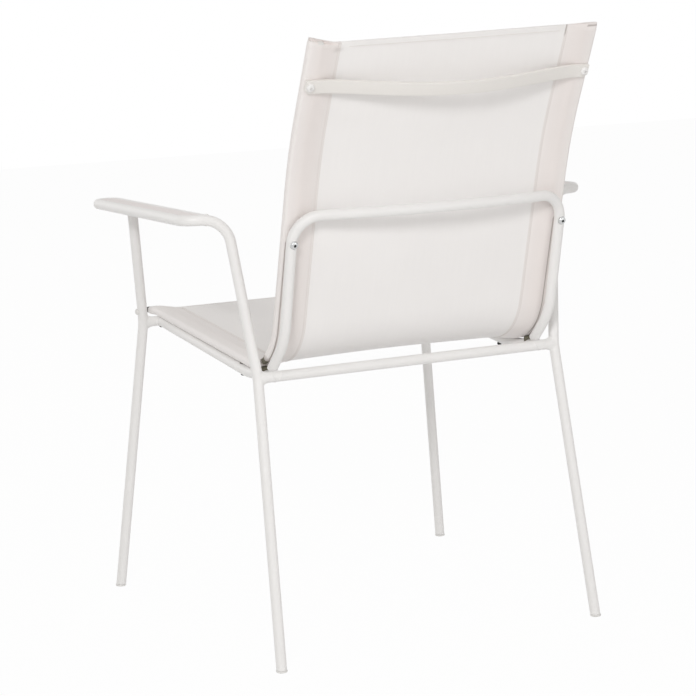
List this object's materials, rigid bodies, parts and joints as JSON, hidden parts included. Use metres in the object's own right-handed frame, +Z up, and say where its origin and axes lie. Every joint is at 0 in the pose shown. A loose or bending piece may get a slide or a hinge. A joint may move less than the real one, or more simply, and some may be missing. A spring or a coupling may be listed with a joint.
{
  "type": "sling patio chair",
  "caption": "Stackable sling armchair: bent round tube frame with looped arms, a back hoop and a mesh sling stretched on bent side rails.",
  "frame": {"origin": "on the floor, at the bottom centre of the bounding box", "axes": "+Z up, the chair faces -Y, +X is the sitter's left"},
  "size_m": [0.6548, 0.5984, 0.877],
  "materials": {
    "powder_coat": "satin white powder coat",
    "sling_mesh": "woven white PVC-coated mesh",
    "arm_inlay": "matt warm beige",
    "dark_plastic": "matt black",
    "pale_plastic": "matt natural white",
    "dark_rubber": "matt black",
    "rail_metal": "mill finish",
    "screw_steel": "bright zinc",
    "black_screw": "black oxide"
  },
  "bodies": {
    "root": {"left_rear_leg_and_arm": "powder_coat", "right_rear_leg_and_arm": "powder_coat", "left_front_leg": "powder_coat", "right_front_leg": "powder_coat", "left_arm_inlay": "arm_inlay", "right_arm_inlay": "arm_inlay", "rear_crossbar": "powder_coat", "front_crossbar": "powder_coat", "left_side_tube": "powder_coat", "right_side_tube": "powder_coat", "back_hoop": "powder_coat", "left_sling_rail": "rail_metal", "right_sling_rail": "rail_metal", "left_front_rail_plug": "dark_plastic", "right_front_rail_plug": "dark_plastic", "left_top_rail_plug": "pale_plastic", "right_top_rail_plug": "pale_plastic", "sling_fabric": "sling_mesh", "spreader_bar": "powder_coat", "left_hoop_screw": "screw_steel", "right_hoop_screw": "screw_steel", "left_spreader_screw": "powder_coat", "right_spreader_screw": "powder_coat", "left_rear_seat_screw": "black_screw", "right_rear_seat_screw": "black_screw", "left_front_seat_screw": "black_screw", "right_front_seat_screw": "black_screw", "left_seat_spacer": "dark_plastic", "right_seat_spacer": "dark_plastic", "left_rear_buffer": "dark_rubber", "right_rear_buffer": "dark_rubber", "left_stacking_bumper": "pale_plastic", "right_stacking_bumper": "pale_plastic", "left_front_foot_glide": "pale_plastic", "right_front_foot_glide": "pale_plastic", "left_rear_foot_glide": "pale_plastic", "right_rear_foot_glide": "pale_plastic"}
  },
  "joints": []
}
